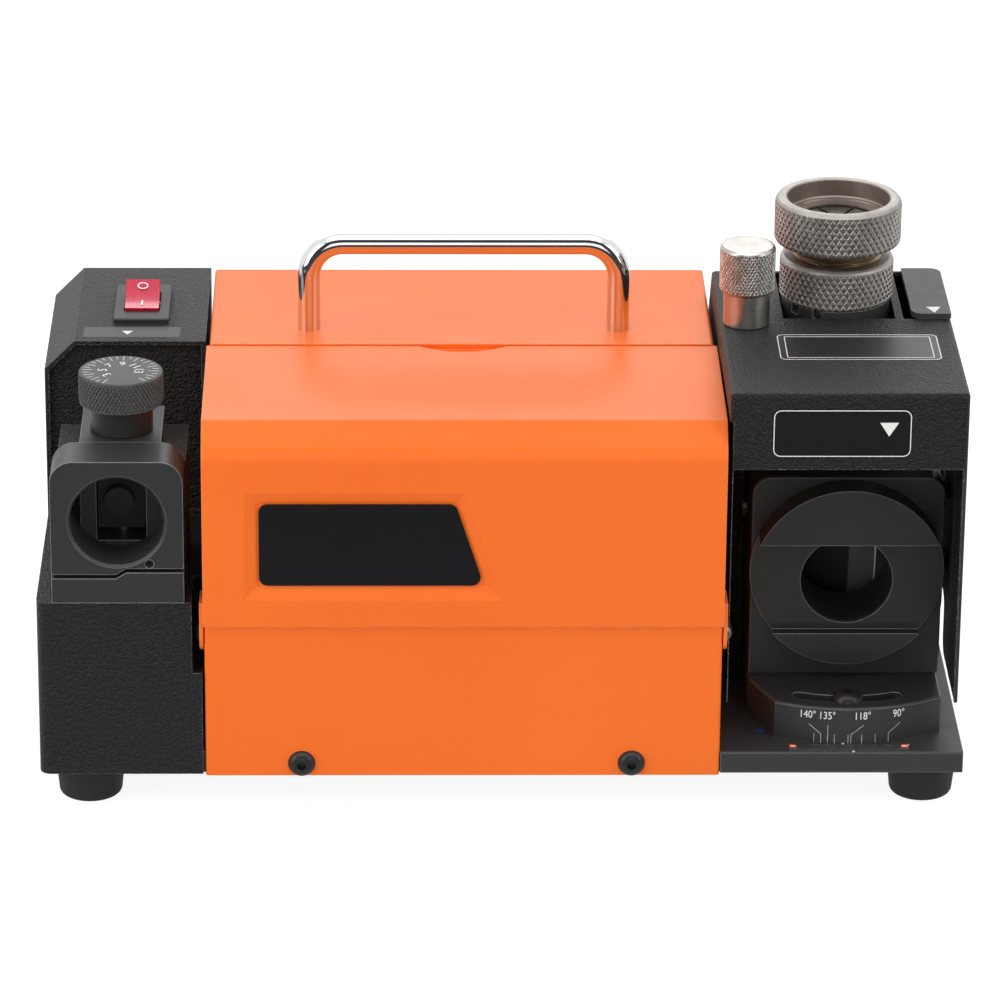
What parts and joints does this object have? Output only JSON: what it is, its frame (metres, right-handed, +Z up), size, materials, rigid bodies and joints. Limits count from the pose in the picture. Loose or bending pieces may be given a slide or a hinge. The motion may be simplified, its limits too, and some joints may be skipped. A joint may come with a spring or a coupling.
{
  "type": "drill bit sharpener",
  "caption": "Bench drill bit sharpener with a hinged lid, carrying handle, dial setting port, swivelling point-angle port, wheel cover and a collet chuck in the relief port.",
  "frame": {"origin": "on the bench under the middle of the machine's bounding box", "axes": "+Z up, +X to the operator's right along the machine's length, +Y away from the operator"},
  "size_m": [0.32, 0.158, 0.1948],
  "materials": {
    "orange_coat": "satin powder coat",
    "crackle_black": "crackle paint",
    "plate_grey": "satin black",
    "anodised_grey": "anodised dark grey",
    "bare_aluminium": "machined",
    "chrome": "polished",
    "steel": "turned",
    "knurled_steel": "knurled",
    "black_steel": "black oxide",
    "copper_rivet": "copper",
    "rubber": "matt",
    "rocker_red": "translucent red",
    "black_plastic": "matt",
    "badge_black": "matt",
    "capacitor_grey": "matt",
    "wheel_grit": "abrasive grit",
    "iron_core": "laminated"
  },
  "bodies": {
    "base": {"base_plate": "plate_grey", "rubber_feet": "rubber", "foot_screws": "black_steel", "lower_housing": "orange_coat", "housing_screws": "black_steel", "rear_cover": "orange_coat", "rear_cover_screws": "black_steel", "lid_hinge_screws": "steel", "lid_hinge_nuts": "steel", "carry_handle": "chrome", "handle_screws": "steel", "left_housing": "crackle_black", "switch_body": "black_plastic", "power_inlet": "black_plastic", "run_capacitor": "capacitor_grey", "setting_port_base": "anodised_grey", "setting_port_block": "anodised_grey", "setting_set_screw": "black_steel", "setting_bracket": "crackle_black", "setting_carriage": "anodised_grey", "swivel_pivot_pin": "steel", "index_plate": "bare_aluminium", "index_rivets": "copper_rivet", "wheel_frame": "crackle_black", "frame_screws": "black_steel", "wheel_cover": "crackle_black", "relief_barrel": "anodised_grey", "relief_bracket": "crackle_black", "relief_pointer_plate": "plate_grey", "motor_stator": "iron_core", "motor_shield_left": "bare_aluminium", "motor_shield_right": "bare_aluminium", "bearing_outer_races": "steel", "motor_cradle": "plate_grey", "storage_tray": "plate_grey", "spare_collets": "steel"},
    "lid": {"front_lid": "orange_coat", "badge_plate": "badge_black"},
    "rocker": {"switch_rocker": "rocker_red"},
    "dial": {"dial_knob": "anodised_grey", "dial_spindle": "steel"},
    "drill_stop": {"setting_stop": "black_steel"},
    "swivel_unit": {"swivel_base": "anodised_grey", "swivel_block": "anodised_grey", "port_disc": "anodised_grey", "port_disc_screws": "black_steel", "swivel_guard": "crackle_black"},
    "clamp_screw": {"swivel_clamp_screw": "black_steel"},
    "hand_knob": {"cover_knob": "knurled_steel"},
    "chuck": {"chuck_body": "knurled_steel", "chuck_collet": "steel"},
    "closing_nut": {"chuck_nut": "knurled_steel"},
    "spindle": {"grinding_wheel": "wheel_grit", "wheel_flange": "bare_aluminium", "wheel_nut": "steel", "motor_shaft": "steel", "motor_rotor": "iron_core", "bearing_inner_races": "steel"}
  },
  "joints": [
    {"name": "lid_hinge", "type": "hinge", "parent": "base", "child": "lid", "pos_m": [0, -0.0705, 0.066], "axis": [1, 0, 0], "range_deg": [0, 75]},
    {"name": "rocker_pivot", "type": "hinge", "parent": "base", "child": "rocker", "pos_m": [-0.1267, 0.0367, 0.1458], "axis": [-1, 0, 0], "range_deg": [0, 34]},
    {"name": "dial_turn", "type": "hinge", "parent": "base", "child": "dial", "pos_m": [-0.131, -0.0446, 0.13], "axis": [0, 0, 1], "range_deg": [-1, 301]},
    {"name": "stop_travel", "type": "slide", "parent": "base", "child": "drill_stop", "axis": [0, 0, 1], "range_m": [0, 0.0025]},
    {"name": "angle_swivel", "type": "hinge", "parent": "base", "child": "swivel_unit", "pos_m": [0.1205, -0.0155, 0.03], "axis": [0, 0, 1], "range_deg": [-14, 11]},
    {"name": "clamp_turn", "type": "hinge", "parent": "base", "child": "clamp_screw", "pos_m": [0.1205, -0.0617, 0.03], "axis": [0, 0, 1], "range_deg": [0, 360]},
    {"name": "hand_knob_turn", "type": "hinge", "parent": "base", "child": "hand_knob", "pos_m": [0.0853, -0.0082, 0.15], "axis": [0, 0, 1], "range_deg": [0, 360]},
    {"name": "chuck_lift", "type": "slide", "parent": "base", "child": "chuck", "axis": [0, 0, 1], "range_m": [0, 0.045]},
    {"name": "nut_turn", "type": "hinge", "parent": "chuck", "child": "closing_nut", "pos_m": [0.1182, 0.0149, 0.18], "axis": [0, 0, 1], "range_deg": [0, 360]},
    {"name": "spindle_spin", "type": "hinge", "parent": "base", "child": "spindle", "pos_m": [0, 0.027, 0.073], "axis": [1, 0, 0], "continuous": true}
  ],
  "couplings": [
    {"joint": "dial_turn", "follows": "stop_travel", "rad_per_m": 2094.4}
  ]
}
